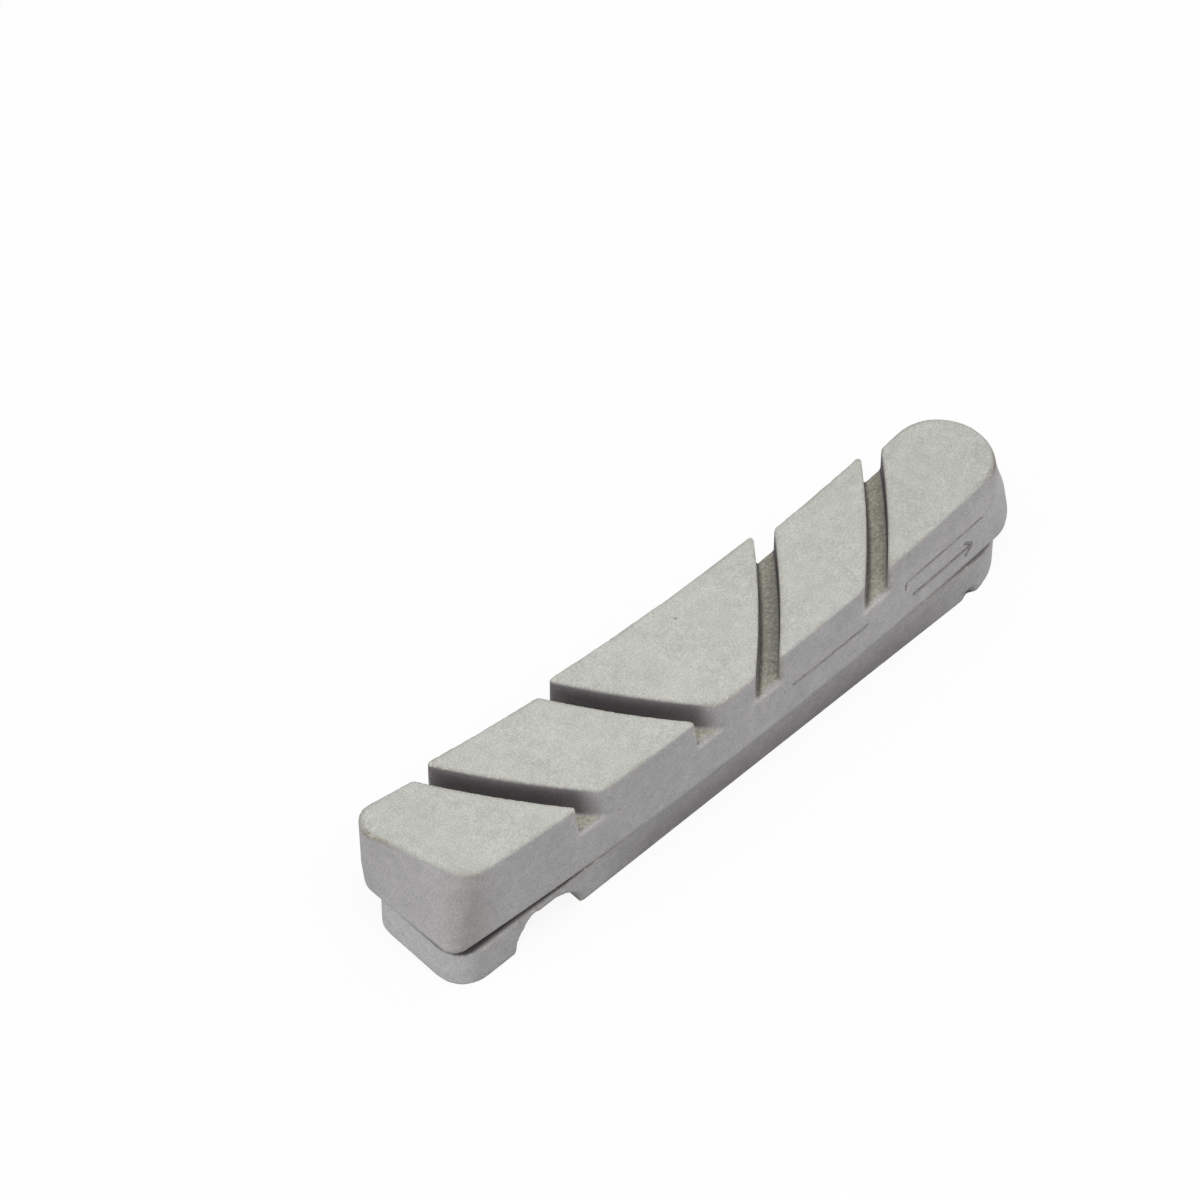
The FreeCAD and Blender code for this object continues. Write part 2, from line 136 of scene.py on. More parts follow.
def maths(tree, operation, first, second, clamp=False):
    """One sum on two values, each a number or a socket."""
    node = add_node(tree, "ShaderNodeMath", {0: first, 1: second}, operation=operation)
    node.use_clamp = clamp
    return node.outputs[0]


def blend(tree, share, first, second, mode="MIX"):
    """Colour that goes from the first to the second as share goes from 0 to 1."""
    feeds = {0: share, 6: first, 7: second}
    node = add_node(tree, "ShaderNodeMix", feeds, data_type="RGBA", blend_type=mode)
    return node.outputs[2]


print("mid grey 128 is linear", round(tone(128, 128, 128)[0], 3))

# %% [markdown]
# The floor has two looks. To the camera and in reflections it is a white card that still
# takes the pad's shadow, most of it its own light so that the shadow stays faint. To the
# light that bounces it is a mid grey, or it would light the pad's sides as if from below.

# %% Floor
FLOOR_DROP = 0.02
FLOOR_SIZE = 4000.0
BOUNCE_TONE = (0.4, 0.4, 0.4, 1)
OWN_LIGHT = 0.9

bpy.ops.mesh.primitive_plane_add(size=FLOOR_SIZE * MM, location=(0, 0, -FLOOR_DROP * MM))
floor = bpy.context.object
floor.name = "floor"
card = bpy.data.materials.new("white_card")
card.use_nodes = True
tree = card.node_tree
tree.nodes.clear()
ray = add_node(tree, "ShaderNodeLightPath", {})
seen = maths(tree, "MAXIMUM", ray.outputs["Is Camera Ray"], ray.outputs["Is Glossy Ray"])
seen = maths(tree, "MAXIMUM", seen, ray.outputs["Is Transmission Ray"])
paper = add_node(tree, "ShaderNodeBsdfDiffuse", {"Color": WHITE})
glow = add_node(tree, "ShaderNodeEmission", {"Color": WHITE, "Strength": 1.0})
white = add_node(tree, "ShaderNodeMixShader",
                 {0: OWN_LIGHT, 1: paper.outputs[0], 2: glow.outputs[0]})
grey = add_node(tree, "ShaderNodeBsdfDiffuse", {"Color": BOUNCE_TONE})
both = add_node(tree, "ShaderNodeMixShader", {0: seen, 1: grey.outputs[0], 2: white.outputs[0]})
add_node(tree, "ShaderNodeOutputMaterial", {"Surface": both.outputs[0]})
floor.data.materials.append(card)
print("floor:", floor.name)

# %% [markdown]
# A mould is never perfectly sharp, so the real pad's edges catch the light. The packed
# solid is a net of long thin triangles, and a Bevel modifier on such a net leaves black
# slivers at the slots. So the solid is first made an even net of small squares: its
# triangles are joined into one closed skin, a voxel remesh covers a copy of that skin with
# squares, and a Shrinkwrap lays their corners exactly on it.

# %% Join the solid's triangles
JOIN_REACH = 0.001

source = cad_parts["brake_pad"]
net = bmesh.new()
net.from_mesh(source.data)
bmesh.ops.remove_doubles(net, verts=net.verts, dist=JOIN_REACH * MM)
joined = bpy.data.meshes.new("joined")
net.to_mesh(joined)
net.free()
print("joined points:", len(joined.vertices))

# %% Even net of small squares
FINE_STEP = 0.085 * MM


def read(items, name, kind, width=1):
    """One property of many mesh items as an array, one row for each item."""
    values = np.empty(len(items) * width, dtype=kind)
    items.foreach_get(name, values)
    return values.reshape(-1, width) if width > 1 else values


def even_net(mesh, step):
    """Points, edges and squares of a net about one step wide that covers a closed mesh."""
    skin = bpy.data.objects.new("skin", mesh)
    draft = bpy.data.objects.new("draft", mesh)
    for item in (skin, draft):
        bpy.context.collection.objects.link(item)
    even = draft.modifiers.new("even_net", "REMESH")
    even.mode = "VOXEL"
    even.voxel_size = step
    lay = draft.modifiers.new("lay_on_skin", "SHRINKWRAP")
    lay.target = skin
    bpy.context.view_layer.update()
    net = draft.evaluated_get(bpy.context.evaluated_depsgraph_get()).to_mesh()
    parts = (read(net.vertices, "co", float, 3), read(net.edges, "vertices", int, 2),
             read(net.loops, "vertex_index", int).reshape(-1, 4))
    for item in (skin, draft):
        bpy.data.objects.remove(item)
    return parts


points, edges, squares = even_net(joined, FINE_STEP)
print("fine net points:", len(points), "squares:", len(squares))

# %% [markdown]
# Rubbing an edge soft is an average: each point moves part of the way to the mean of its
# neighbours, a few times over. How far that reaches is one net step times the root of the
# number of rounds, so a fine net gives a small clean radius. A second, wider net is then
# laid over the softened skin, because the fine one has more squares than the picture needs.

# %% Soften the net
SOFT_ROUNDS = 5
SOFT_SHARE = 0.5
NET_STEP = 0.174 * MM


def neighbour_mean(values, links):
    """Mean over each point's neighbours: sums over the links, divided by their number."""
    count = np.bincount(links.ravel(), minlength=len(values))
    columns = values.reshape(len(values), -1).T
    sums = [np.bincount(links[:, 0], column[links[:, 1]], len(values))
            + np.bincount(links[:, 1], column[links[:, 0]], len(values)) for column in columns]
    return (np.stack(sums, 1) / count[:, None]).reshape(values.shape)


rubbed = points
for step in range(SOFT_ROUNDS):
    rubbed = rubbed + SOFT_SHARE * (neighbour_mean(rubbed, edges) - rubbed)
print("largest move in mm:", round(float(np.linalg.norm(rubbed - points, axis=1).max()) / MM, 3))
softened = bpy.data.meshes.new("softened")
softened.from_pydata(rubbed, [], squares)
soft, edges, squares = even_net(softened, NET_STEP)
print("net points:", len(soft), "squares:", len(squares))

# %% [markdown]
# The rubber is cast through a small gate at the rail's side, near the round end, and the
# stub is torn off there. It leaves a shallow crater with a raised lip. A Boolean could cut
# it, but would leave a hard rim. Both shapes are soft hills on the wall, so the net's
# points near them are simply pushed along Y.

# %% Gate scar on the rail
RAIL_SIDE = -4.35
SIDE_FADE = (0.2, 1.2)
SCAR_PLACE = (21.5, 0.25)
SCAR_REACH = (0.42, 0.4)
SCAR_DEPTH = 0.3
LIP_PLACE = (22.3, 0.3)
LIP_REACH = (0.5, 0.5)
LIP_HEIGHT = 0.09


def ramp(values, low, high):
    """0 below low, 1 above high, and a soft S between them."""
    share = np.clip((values - low) / (high - low), 0, 1)
    return share * share * (3 - 2 * share)


def fall(values, low, high):
    """1 below low, 0 above high: the ramp, the other way up."""
    return ramp(-values, -high, -low)


def hill(place, reach):
    """Bell shape on the rail's convex side: e to minus the squared distance in X and Z,
    each divided by its reach. It fades within about a millimetre of the side."""
    x, y, z = (soft / MM).T
    on_side = fall(np.abs(y - RAIL_SIDE), *SIDE_FADE)
    distance = ((x - place[0]) / reach[0]) ** 2 + ((z - place[1]) / reach[1]) ** 2
    return on_side * np.exp(-distance)


scar = hill(SCAR_PLACE, SCAR_REACH)
lip = hill(LIP_PLACE, LIP_REACH)
soft[:, 1] += (SCAR_DEPTH * scar - LIP_HEIGHT * lip) * MM
print("scar depth in mm:", round(float(SCAR_DEPTH * scar.max()), 3))

# %% [markdown]
# Rubber ages where it is touched, and some of its light and shade is painted on as well.
# To paint both, each point gets numbers between 0 and 1, called masks, that say where it
# is: on the friction face, on a slot's floor or wall, in the groove, or on an edge. They
# could be painted by hand. Here they follow from the point's place, the way the surface
# faces there and how much it bends, so they stay right when the net or a size changes. The
# bend is how far a point stands out from the mean of its neighbours, in net steps, evened
# out over a few rounds.

# %% Which way the surface faces, and how it bends
BEND_ROUNDS = 2
WIDE_ROUNDS = 8

first, second, third, fourth = (soft[squares[:, side]] for side in range(4))
square_normals = np.cross(third - first, fourth - second)
corners = squares.ravel()
normals = np.stack([np.bincount(corners, np.repeat(square_normals[:, axis], 4), len(soft))
                    for axis in range(3)], 1)
normals /= np.linalg.norm(normals, axis=1)[:, None]
bend = -np.einsum("ij,ij->i", neighbour_mean(soft, edges) - soft, normals) / NET_STEP
for step in range(BEND_ROUNDS):
    bend = neighbour_mean(bend, edges)
wide_bend = bend
for step in range(WIDE_ROUNDS):
    wide_bend = neighbour_mean(wide_bend, edges)
print("bend from", round(float(bend.min()), 3), "to", round(float(bend.max()), 3))

# %% [markdown]
# The masks and the marks on the wall need a few of the solid's own sizes, in millimetres.
# The wall's two long arcs have their furthest reach, the X of their middle and their
# radius. A slot has its place and its lean on the pad's middle line, and the side that
# its centre lies on. Its offset is the distance from its own middle line, and a point
# far from every slot keeps one that is larger than any mask asks for.

# %% Sizes of the block
FOOT_LEVEL = 4.75
FACE_LEVEL = 10.7
FACE_FALL = np.tan(np.radians(1.15))
FOOT_ARC = (-5.2, 0.9, 340.0)
FACE_ARC = (-4.62, -2.35, 267.0)
SLOT_RADIUS = 65.0
SLOTS = [(-17.95, 35.84, 1), (-7.7, 35.84, 1), (6.14, 42.82, -1), (16.39, 42.82, -1)]
NO_SLOT = 9.0


def arc(x, reach, middle, radius):
    """Y of a long arc, as a parabola: its reach, and back from there by the squared
    distance from its middle over twice its radius."""
    return reach + (x - middle) ** 2 / (2 * radius)


def wall_place(x, z):
    """Point on the convex wall: Y goes from the foot's arc to the face's arc as Z climbs."""
    foot = arc(x, *FOOT_ARC)
    face = arc(x, *FACE_ARC)
    climb = (z - FOOT_LEVEL) / (FACE_LEVEL - x * FACE_FALL - FOOT_LEVEL)
    return np.stack([x, foot + climb * (face - foot), z], -1)


x, y, z = (soft / MM).T
up = normals[:, 2]
depth = FACE_LEVEL - x * FACE_FALL - z
inwards = y - wall_place(x, z)[:, 1]
slot_offset = np.full(len(soft), NO_SLOT)
for place, lean, side in SLOTS:
    centre_x = place + side * SLOT_RADIUS * np.cos(np.radians(lean))
    centre_y = SLOT_RADIUS * np.sin(np.radians(lean))
    offset = side * (np.hypot(x - centre_x, y - centre_y) - SLOT_RADIUS)
    slot_offset = np.where(np.abs(offset) < np.abs(slot_offset), offset, slot_offset)
print("slots cross the middle line at X:", [place for place, lean, side in SLOTS])

# %% [markdown]
# The block's masks come first. A slot is an arc of a known circle, so the distance from its
# middle line says what lies in it, and the way the surface faces tells its floor from its
# walls. The walls and the corners of the floors are painted shade. Towards an outer edge
# both the floor and the wall get paler. Each pair of numbers is the two ends of a fade:
# millimetres for a place, and for a direction the share by which the surface faces up.

# %% Masks of the face and the slots
FACE_UP = (0.35, 0.75)
FACE_DEPTH = (0.3, 0.5)
SLOT_HALF = (0.8, 1.0)
SLOT_BOTTOM = (7.7, 8.0)
FLOOR_UP = (0.4, 0.8)
FLOOR_TOP = (8.4, 8.8)
FLOOR_INWARDS = (-0.1, 0.5)
CORNER_OFFSET = (0.25, 0.5)
CORNER_INWARDS = (0.1, 0.5)
WALL_UP = (0.4, 0.75)
WALL_DEPTH = (0.0, 0.3)
WALL_INWARDS = (0.1, 1.5)
EDGE_BEND = (0.008, 0.03)
EDGE_FADE = 0.12

by_edge = ramp(wide_bend, *EDGE_BEND)
in_slot = fall(np.abs(slot_offset), *SLOT_HALF) * ramp(z, *SLOT_BOTTOM)
on_floor = in_slot * ramp(up, *FLOOR_UP) * fall(z, *FLOOR_TOP)
on_wall = in_slot * fall(up, *WALL_UP) * ramp(depth, *WALL_DEPTH)
masks = {
    "friction_face": ramp(up, *FACE_UP) * fall(depth, *FACE_DEPTH),
    "slot_floor": on_floor * ramp(inwards, *FLOOR_INWARDS) * (1 - by_edge),
    # Painted shadow on the floor's sides, next to the slot walls.
    "slot_corner_shade": on_floor * ramp(slot_offset, *CORNER_OFFSET) * ramp(inwards, *CORNER_INWARDS),
    # Painted shade on the slot walls, a little less near an outer edge.
    "slot_wall_shade": on_wall * ramp(inwards, *WALL_INWARDS) * (1 - EDGE_FADE * by_edge),
}
print("block masks:", list(masks))

# %% [markdown]
# The groove between rail and block is painted dark with shade at the square end, half as
# dark at the round end, and plain between them. At the square end the outer part of the shelf
# below it stays pale. The rail's side gets painted shade low down along the middle, and its
# square end is paler with painted light.

# %% Masks of the rail and the groove
GROOVE_BOTTOM = (3.35, 3.5)
GROOVE_TOP = (4.2, 4.4)
GROOVE_BACK = (3.0, 3.4)
GROOVE_SQUARE_PART = (-17.0, -10.0)
GROOVE_ROUND_PART = (18.0, 22.0)
GROOVE_ROUND_SHARE = 0.5
SHELF_EDGE = (-4.36, -4.2)
PALE_SHELF = 0.35
PALE_SHELF_PART = (-22.0, -16.0)
RAIL_LOW = (0.0, 4.6)
RAIL_LOW_START = (-17.0, -6.0)
RAIL_LOW_STOP = (14.0, 23.0)
RAIL_END = (-25.6, -24.4)
RAIL_END_TOP = (3.4, 4.0)
RAIL_END_UP = (0.2, 0.6)

# Painted shade in the groove, kept off the pale outer part of the shelf at the square end.
pale = PALE_SHELF * fall(x, *PALE_SHELF_PART)
shelf = ramp(y, SHELF_EDGE[0], SHELF_EDGE[1] + pale)
groove = ramp(z, *GROOVE_BOTTOM) * fall(z, *GROOVE_TOP) * shelf * fall(y, *GROOVE_BACK)
groove *= fall(x, *GROOVE_SQUARE_PART) + GROOVE_ROUND_SHARE * ramp(x, *GROOVE_ROUND_PART)
masks["groove"] = groove
# Painted shade low on the rail's side along its middle, where the block overhangs it.
masks["rail_low"] = fall(z, *RAIL_LOW) * ramp(x, *RAIL_LOW_START) * fall(x, *RAIL_LOW_STOP)
# Painted light on the rail's square end.
masks["rail_end_light"] = fall(x, *RAIL_END) * fall(z, *RAIL_END_TOP) * fall(up, *RAIL_END_UP)
print("groove mask in the mean:", round(float(groove.mean()), 3))

# %% [markdown]
# Edges wear, the hollows low on the block are painted browner, and handling leaves a few
# stains. How much the surface bends finds the edges and the hollows. A stain is a soft round
# spot at a chosen place, kept to the rim there. Painted shade lies broadly on one corner and
# over the round half, and the gate scar's crater is painted darker.

# %% Masks of edges, hollows and stains
OUTER_BEND = (0.05, 0.13)
CREASE_BEND = (0.07, 0.16)
CREASE_TOP = (4.6, 5.0)
CREASE_START = (-26.0, -23.0)
STAINS = [((-25.9, 3.2), 1.8), ((25.0, -2.8), 1.5), ((-24.6, -4.3), 1.2)]
STAIN_BEND = (0.03, 0.11)
STAIN_BOTTOM = (9.5, 10.2)
CORNER_PLACE = (-25.4, -4.0)
CORNER_REACH = 1.5
CORNER_BOTTOM = (4.2, 5.0)
ROUND_HALF = (-5.0, 27.0)
ROUND_HALF_BOTTOM = (8.0, 10.0)
SCAR_DARKENING = 1.4


def near(place, reach):
    """Bell in X and Y round a place: e to minus the squared distance over reach squared."""
    return np.exp(-((x - place[0]) ** 2 + (y - place[1]) ** 2) / reach ** 2)


stained = np.clip(sum(near(place, reach) for place, reach in STAINS), 0, 1)
# Painted shade over the corner near the square end.
masks["near_corner"] = near(CORNER_PLACE, CORNER_REACH) * ramp(z, *CORNER_BOTTOM)
masks["outer_edge"] = ramp(bend, *OUTER_BEND)
masks["crease"] = ramp(-bend, *CREASE_BEND) * fall(z, *CREASE_TOP) * ramp(x, *CREASE_START)
masks["stain"] = stained * ramp(bend, *STAIN_BEND) * ramp(z, *STAIN_BOTTOM)
# Painted shade over the round half, high up.
masks["round_half"] = ramp(x, *ROUND_HALF) * ramp(z, *ROUND_HALF_BOTTOM)
# Darker paint in the gate scar's crater.
masks["shade_and_dirt"] = np.clip(SCAR_DARKENING * scar, 0, 1)
for name, values in masks.items():
    print(name, "covers", round(float(values.mean()) * 100, 1), "% of the points")

# %% [markdown]
# Moulded rubber is never one colour. The friction face is pale and a little green where
# the mould's skin has been ground away, the walls keep a cooler skin, and the slot floors are
# a little darker. The slot walls, the floors' corners, the groove, one corner and the rail low
# down are darker still with painted shade, and the rail's square end is paler with painted
# light. The tones are screen values, one for each kind of place. In the list, each paint has
# the mask that it follows and how strong it gets at most.

# %% Tones of the rubber
WALL_TONE = tone(190, 188, 188)
# Painted shade for the rail's side low down along the middle.
RAIL_LOW_SHADE_TONE = tone(146, 142, 146)
FACE_TONE = tone(194, 196, 189)
EDGE_TONE = tone(166, 160, 148)
EDGE_MOST = 0.6
# Of these paints, the rail's square end is painted light, and the corner near the square end, the
# floors' corners, the slot walls and the groove are painted shade.
PAINTS = [
    ("rail_end_light", 1.0, tone(207, 205, 206)),
    ("near_corner", 0.7, tone(164, 161, 157)),
    ("slot_floor", 1.0, tone(178, 178, 164)),
    ("slot_corner_shade", 1.0, tone(107, 105, 98)),
    ("slot_wall_shade", 1.0, tone(124, 118, 120)),
    ("groove", 1.0, tone(84, 80, 80)),
    ("crease", 0.6, tone(128, 118, 104)),
    ("stain", 0.75, tone(122, 112, 98)),
]
# Dark paint: painted shade at the ridges' feet, and a darker gate scar.
SHADE_AND_DIRT_TONE = tone(84, 79, 76)
CHIP_TONE = tone(224, 221, 208)
CHIP_MOST = 0.6
ROUND_HALF_SHADE = (0.93, 0.93, 0.93, 1)
DARK_SPECK_TONE = tone(128, 112, 96)
DARK_SPECK_MOST = 0.65
PALE_SPECK_TONE = tone(222, 223, 216)
PALE_SPECK_MOST = 0.5
print("paints:", [name for name, most, paint in PAINTS])

# %% [markdown]
# Over the tones lie patterns: a grain about a tenth of a millimetre wide, patches of almost
# a millimetre, clouds of a few, and here and there a dark or a pale grain of filler. A
# picture wrapped round the pad would stretch at the slots. These are worked out from the
# object's own coordinates, so they run through the rubber as real grain does. A noise has
# its cell width in millimetres, its detail and its roughness.

# %% Patterns of the rubber
GRAIN = (0.13, 1.0, 0.5)
PATCHES = (0.8, 2.0, 0.5)
CLOUDS = (3.5, 3.0, 0.6)
FLOOR_GRAIN = (0.2, 2.0, 0.5)
CHIPS = (0.3, 1.0, 0.5)


def noise(tree, where, cell, detail, roughness):
    """Soft noise whose patches are about one cell wide, in millimetres."""
    feeds = {"Vector": where, "Scale": 1 / (cell * MM), "Detail": detail, "Roughness": roughness}
    return add_node(tree, "ShaderNodeTexNoise", feeds).outputs["Fac"]


def band(tree, value, low, high, to_low=0.0, to_high=1.0):
    """Straight climb from one number to another while the value goes from low to high."""
    feeds = {"Value": value, "From Min": low, "From Max": high, "To Min": to_low, "To Max": to_high}
    return add_node(tree, "ShaderNodeMapRange", feeds).outputs["Result"]


def specks(tree, where, cell, size, rarity):
    """Round dots in some cells of a Voronoi net: they fade from half their size outwards,
    and show only where the cell's own random number is above rarity."""
    feeds = {"Vector": where, "Scale": 1 / (cell * MM)}
    cells = add_node(tree, "ShaderNodeTexVoronoi", feeds)
    dot = band(tree, cells.outputs["Distance"], size, size / 2)
    chosen = add_node(tree, "ShaderNodeSeparateColor", {0: cells.outputs["Color"]}).outputs[0]
    return maths(tree, "MULTIPLY", dot, maths(tree, "GREATER_THAN", chosen, rarity))


rubber = bpy.data.materials.new("moulded_rubber")
rubber.use_nodes = True
tree = rubber.node_tree
where = add_node(tree, "ShaderNodeTexCoord", {}).outputs["Object"]
grain = noise(tree, where, *GRAIN)
clouds = noise(tree, where, *CLOUDS)
patches = noise(tree, where, *PATCHES)
floor_grain = noise(tree, where, *FLOOR_GRAIN)
print("patterns of the rubber:", len(tree.nodes), "nodes")

# %% [markdown]
# A painter works from large to small, and so does this graph. The wall's tone lies under
# everything, then come the face, the worn edges and the list of paints, painted shade and
# light among them. The dark paint follows, which is painted shade at the ridges' feet and a
# darker gate scar, then pale chips. They are broken up by noise, because wear never has a
# clean outline.

# %% Paint by place
PATCH_BAND = (0.35, 0.6)
SHADE_AND_DIRT_REACH = (0.55, 0.95)
CHIP_BAND = (0.59, 0.69)


def cover(tree, colour, share, most, paint):
    """Colour painted over with another one, as strongly as share times most."""
    return blend(tree, maths(tree, "MULTIPLY", share, most), colour, paint)


mask = {name: add_node(tree, "ShaderNodeAttribute", {}, attribute_name=name).outputs["Fac"]
        for name in masks}
worn = maths(tree, "MULTIPLY", mask["outer_edge"], band(tree, patches, *PATCH_BAND))
# Painted shade at the ridges' feet and a darker gate scar, broken up by patches.
shade_and_dirt_share = maths(tree, "MULTIPLY", mask["shade_and_dirt"], band(tree, patches, *PATCH_BAND, *SHADE_AND_DIRT_REACH))
chips = band(tree, noise(tree, where, *CHIPS), *CHIP_BAND)
chipped = maths(tree, "MULTIPLY", mask["outer_edge"], chips)

colour = blend(tree, mask["rail_low"], WALL_TONE, RAIL_LOW_SHADE_TONE)
colour = blend(tree, mask["friction_face"], colour, FACE_TONE)
colour = cover(tree, colour, worn, EDGE_MOST, EDGE_TONE)
for name, most, paint in PAINTS:
    colour = cover(tree, colour, mask[name], most, paint)
colour = blend(tree, shade_and_dirt_share, colour, SHADE_AND_DIRT_TONE)
colour = cover(tree, colour, chipped, CHIP_MOST, CHIP_TONE)
print("with paint:", len(tree.nodes), "nodes")

# %% [markdown]
# The patterns come last, because they run over every tone alike. Each one multiplies the
# colour by a number close to one. Its reach is how far that number swings while the noise
# goes through its middle part. The slot floors get a coarser grain of their own, and the
# grains of filler are dotted on top.

# %% Tint by pattern
MIDDLE_NOISE = (0.3, 0.7)
GRAIN_REACH = 0.28
PATCH_REACH = 0.12
CLOUD_REACH = 0.1
FLOOR_NOISE = (0.35, 0.65)
FLOOR_SWING = (0.82, 1.22)
DARK_SPECKS = (1.5, 0.085, 0.8)
PALE_SPECKS = (0.9, 0.09, 0.85)

for pattern, reach in ((grain, GRAIN_REACH), (patches, PATCH_REACH), (clouds, CLOUD_REACH)):
    factor = band(tree, pattern, *MIDDLE_NOISE, 1 - reach / 2, 1 + reach / 2)
    colour = blend(tree, 1.0, colour, factor, "MULTIPLY")
# Painted shade over the round half.
colour = blend(tree, mask["round_half"], colour, ROUND_HALF_SHADE, "MULTIPLY")
floor_dots = band(tree, floor_grain, *FLOOR_NOISE, *FLOOR_SWING)
colour = blend(tree, mask["slot_floor"], colour, floor_dots, "MULTIPLY")
dark_specks = specks(tree, where, *DARK_SPECKS)
pale_specks = specks(tree, where, *PALE_SPECKS)
colour = cover(tree, colour, dark_specks, DARK_SPECK_MOST, DARK_SPECK_TONE)
colour = cover(tree, colour, pale_specks, PALE_SPECK_MOST, PALE_SPECK_TONE)
shader = tree.nodes["Principled BSDF"]
tree.links.new(colour, shader.inputs["Base Color"])
print("with tints:", len(tree.nodes), "nodes")

# %% [markdown]
# The grain is felt as well as seen. As geometry it would take millions of squares, so the
# same noise that tints it also lifts it in the bump, coarser on the slot floors, and the
# sheen varies with it. Rubber scatters light broadly, so the roughness stays high and the
# specular level low.

# %% Grain and sheen of the rubber
ROUGH_LEAST = 0.66
ROUGH_BY_GRAIN = 0.2
ROUGH_BY_FLOOR = 0.1
SPECULAR = 0.35
FLOOR_LIFT = 2.0
GRAIN_LIFT = 0.04
BUMP_STRENGTH = 0.6

rough = maths(tree, "ADD", ROUGH_LEAST, maths(tree, "MULTIPLY", grain, ROUGH_BY_GRAIN))
floor_rough = maths(tree, "MULTIPLY", mask["slot_floor"], ROUGH_BY_FLOOR)
rough = maths(tree, "ADD", rough, floor_rough, clamp=True)
tree.links.new(rough, shader.inputs["Roughness"])
shader.inputs["Specular IOR Level"].default_value = SPECULAR
coarse = maths(tree, "MULTIPLY", floor_grain, mask["slot_floor"])
lift = maths(tree, "ADD", grain, maths(tree, "MULTIPLY", coarse, FLOOR_LIFT))
feeds = {"Height": lift, "Strength": BUMP_STRENGTH, "Distance": GRAIN_LIFT * MM}
bump = add_node(tree, "ShaderNodeBump", feeds)
tree.links.new(bump.outputs["Normal"], shader.inputs["Normal"])
print("grain lift in mm:", GRAIN_LIFT)

# %% [markdown]
# The net, its masks and the rubber now become one piece. It takes the place of the packed
# solid, rides on the same body and shades smoothly. That is right here, because its edges
# are truly round and need no sharp break in the shading.

# %% Soft-edged pad


def new_piece(name, places, faces, material, values):
    """Smooth mesh object at the origin that rides on the body and takes the rubber's slot.
    values holds the painting numbers of its points, one array for each name."""
    mesh = bpy.data.meshes.new(name)
    mesh.from_pydata(places, [], faces)
    mesh.polygons.foreach_set("use_smooth", np.ones(len(mesh.polygons), dtype=bool))
    mesh.materials.append(material)
    for mask_name, numbers in values.items():
        layer = mesh.attributes.new(mask_name, "FLOAT", "POINT")
        layer.data.foreach_set("value", numbers.astype(np.float32))
    piece = bpy.data.objects.new(name, mesh)
    bpy.context.collection.objects.link(piece)
    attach(piece, "root")
    return piece


pad = new_piece("pad_body", soft, squares, rubber, masks)
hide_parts("brake_pad")
print("pad body squares:", len(squares))

# %% [markdown]
# Low on the convex wall the mould leaves two plain marks: a thin line at the height where
# the pad is worn out, and an arrow under a thin line that points to the round end. They
# are raised ridges, at most a tenth of a millimetre high. The net's squares are nearly as
# wide as they are, so pushing its points would leave them ragged. Each is instead a closed
# tube with a flat oval section, carried along a path on the wall and sunk halfway into it.

# %% Ridge shape
RINGS = 40
SIDES = 10
OUTWARDS = np.array([0.0, -1.0, 0.1])
# How strong the painted shade at a ridge's foot is, and how far it falls towards the crest.
RIDGE_SHADE_LEVEL = 1.3
RIDGE_SHADE_FALL = 0.75


def tube_faces(count):
    """Faces of a tube with two rings fewer than RINGS, whose last two points close its
    ends. Squares join each ring to the next, and a fan of triangles closes each end."""
    side = np.arange(SIDES)
    ring = np.arange(RINGS - 3)[:, None] * SIDES
    start = (ring + side).ravel()
    following = (ring + (side + 1) % SIDES).ravel()
    walls = np.stack([start, following, following + SIDES, start + SIDES], 1)
    last = (RINGS - 3) * SIDES
    low_cap = np.stack([(side + 1) % SIDES, side, np.full(SIDES, count - 2)], 1)
    high_cap = np.stack([last + side, last + (side + 1) % SIDES, np.full(SIDES, count - 1)], 1)
    return walls.tolist() + low_cap.tolist() + high_cap.tolist()


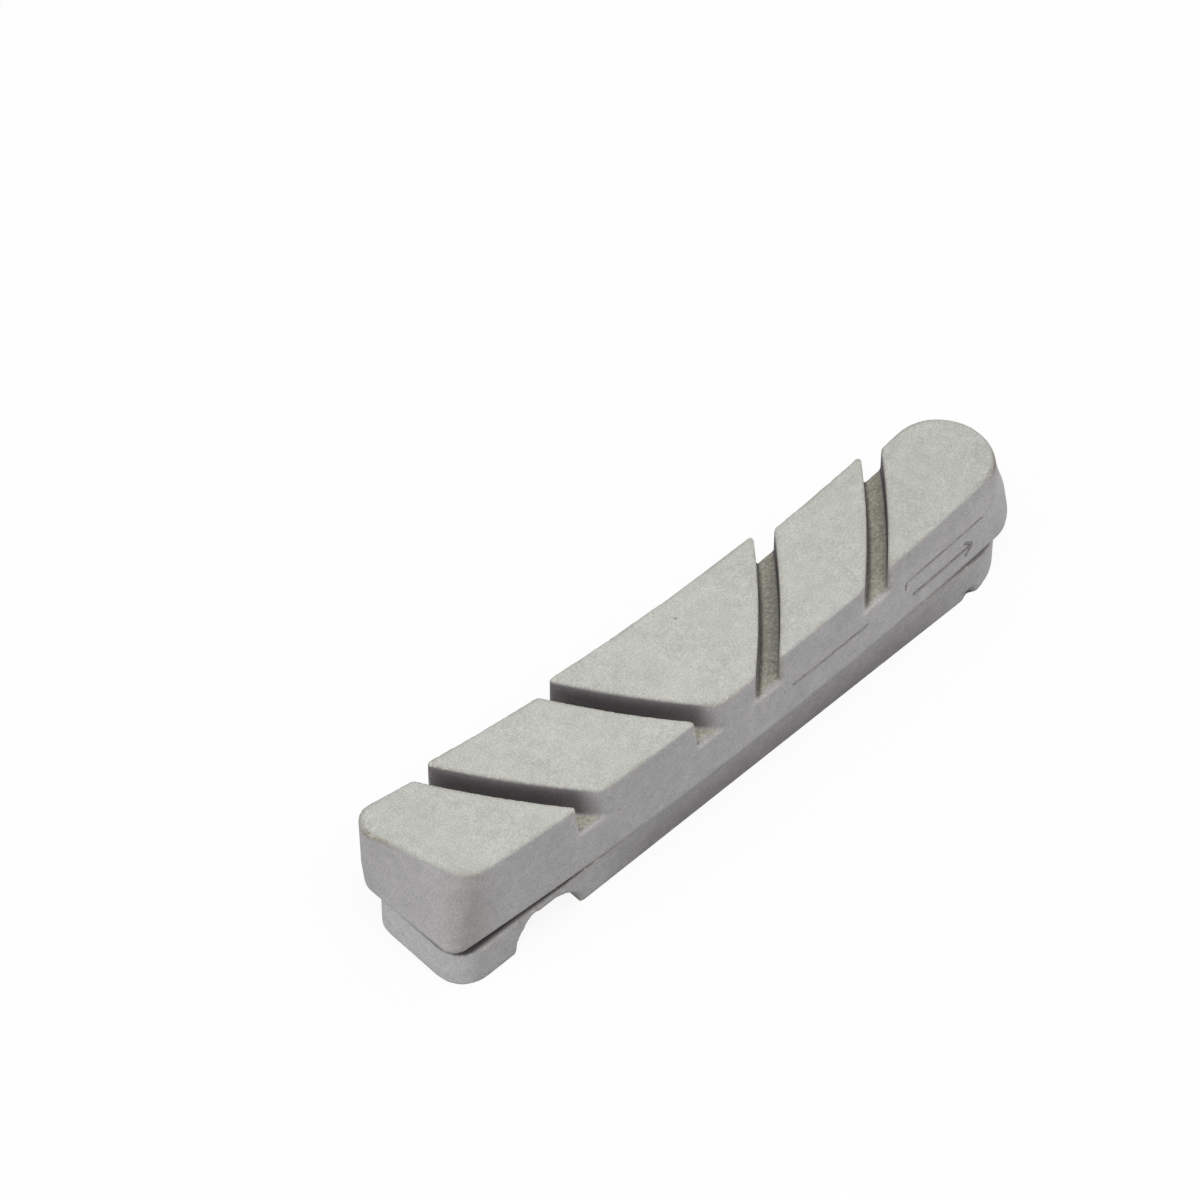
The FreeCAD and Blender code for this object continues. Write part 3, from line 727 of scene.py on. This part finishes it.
def ridge(path, width, height):
    """Tube along straight runs between path points (x, z) on the wall. At each ring the
    section is an oval: half the width across the path, times cosine, and the height out of
    the wall, times sine. Both shrink to nothing over the last half width at each end, where
    the rings crowd together by a sine. Shade is painted where the ridge meets the wall, so
    the painted shade number falls towards its crest."""
    path = np.array(path, dtype=float)
    runs = np.linalg.norm(np.diff(path, axis=0), axis=1)
    along = np.concatenate([[0], np.cumsum(runs)])
    spread = np.linspace(-1, 1, RINGS)
    distance = (np.sin(spread * np.pi / 2) + 1) / 2 * along[-1]
    line = np.stack([np.interp(distance, along, path[:, axis]) for axis in (0, 1)], 1)
    middle = wall_place(line[:, 0], line[:, 1])
    ahead = np.gradient(middle, axis=0)
    ahead /= np.linalg.norm(ahead, axis=1)[:, None]
    out = OUTWARDS - (ahead @ OUTWARDS)[:, None] * ahead
    out /= np.linalg.norm(out, axis=1)[:, None]
    across = np.cross(out, ahead)
    to_end = np.minimum(distance, along[-1] - distance) / (width / 2)
    taper = np.sqrt(np.clip(1 - (1 - np.clip(to_end, 0, 1)) ** 2, 0, 1))[:, None, None]
    turn = np.arange(SIDES) * 2 * np.pi / SIDES
    oval = (across[:, None] * np.cos(turn)[None, :, None] * width / 2
            + out[:, None] * np.sin(turn)[None, :, None] * height)
    tube = (middle[:, None] + taper * oval)[1:-1]
    places = np.concatenate([tube.reshape(-1, 3), middle[[0, -1]]])
    # Painted shade at the ridge's foot, lighter at its crest.
    shade_and_dirt = np.tile(np.clip(RIDGE_SHADE_LEVEL - RIDGE_SHADE_FALL * np.sin(turn), 0, 1), RINGS - 2)
    return places * MM, tube_faces(len(places)), {"shade_and_dirt": np.concatenate([shade_and_dirt, [1.0, 1.0]])}


print("faces of one ridge:", len(tube_faces((RINGS - 2) * SIDES + 2)))

# %% [markdown]
# A mark is a path of points (x, z) on the wall with a width and a height. The arrow is
# three ridges, a shaft and two barbs, that meet at its tip. Lines are a little narrower and
# lower than the arrow.

# %% Marks on the wall
LINE = (0.2, 0.07)
ARROW = (0.28, 0.1)
ARROW_TIP = (21.5, 6.05)
MARKS = {
    "wear_line": ([(3.6, 7.12), (11.0, 6.95)], *LINE),
    "arrow_line": ([(14.7, 7.05), (14.85, 7.68), (15.2, 7.7), (22.8, 7.5)], *LINE),
    "arrow_shaft": ([(15.3, 6.15), (21.4, 6.05)], *ARROW),
    "arrow_barb_high": ([(20.6, 6.7), ARROW_TIP], *ARROW),
    "arrow_barb_low": ([(20.6, 5.45), ARROW_TIP], *ARROW),
}
for name, (path, width, height) in MARKS.items():
    places, faces, shade_and_dirt = ridge(path, width, height)
    new_piece(name, places, faces, rubber, shade_and_dirt)
    print(name, "points:", len(places))
